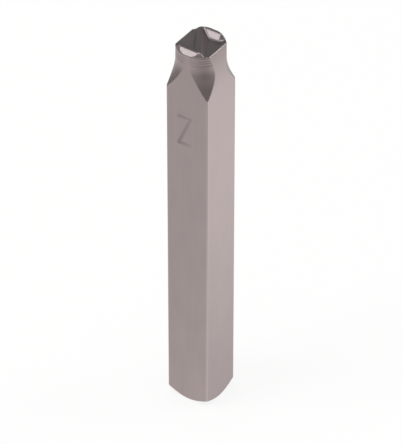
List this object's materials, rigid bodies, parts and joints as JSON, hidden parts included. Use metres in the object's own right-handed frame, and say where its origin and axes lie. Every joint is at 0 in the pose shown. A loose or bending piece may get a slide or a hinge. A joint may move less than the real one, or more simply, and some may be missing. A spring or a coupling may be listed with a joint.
{
  "type": "steel letter punch",
  "caption": "Square steel hand punch with a turned neck and a mirrored letter Z relieved on its end face, standing on its struck end.",
  "frame": {"origin": "centre of the struck end's flat face, which the punch stands on", "axes": "+Z along the punch from the struck end to the letter; -Y is the marked face that the user looks at; +Y is the way the top of the letter points; +X is right seen from the marked face"},
  "size_m": [0.007, 0.007, 0.063],
  "materials": {
    "ground_steel": "ground and turned, satin"
  },
  "bodies": {
    "root": {"letter_punch": "ground_steel"}
  },
  "joints": []
}
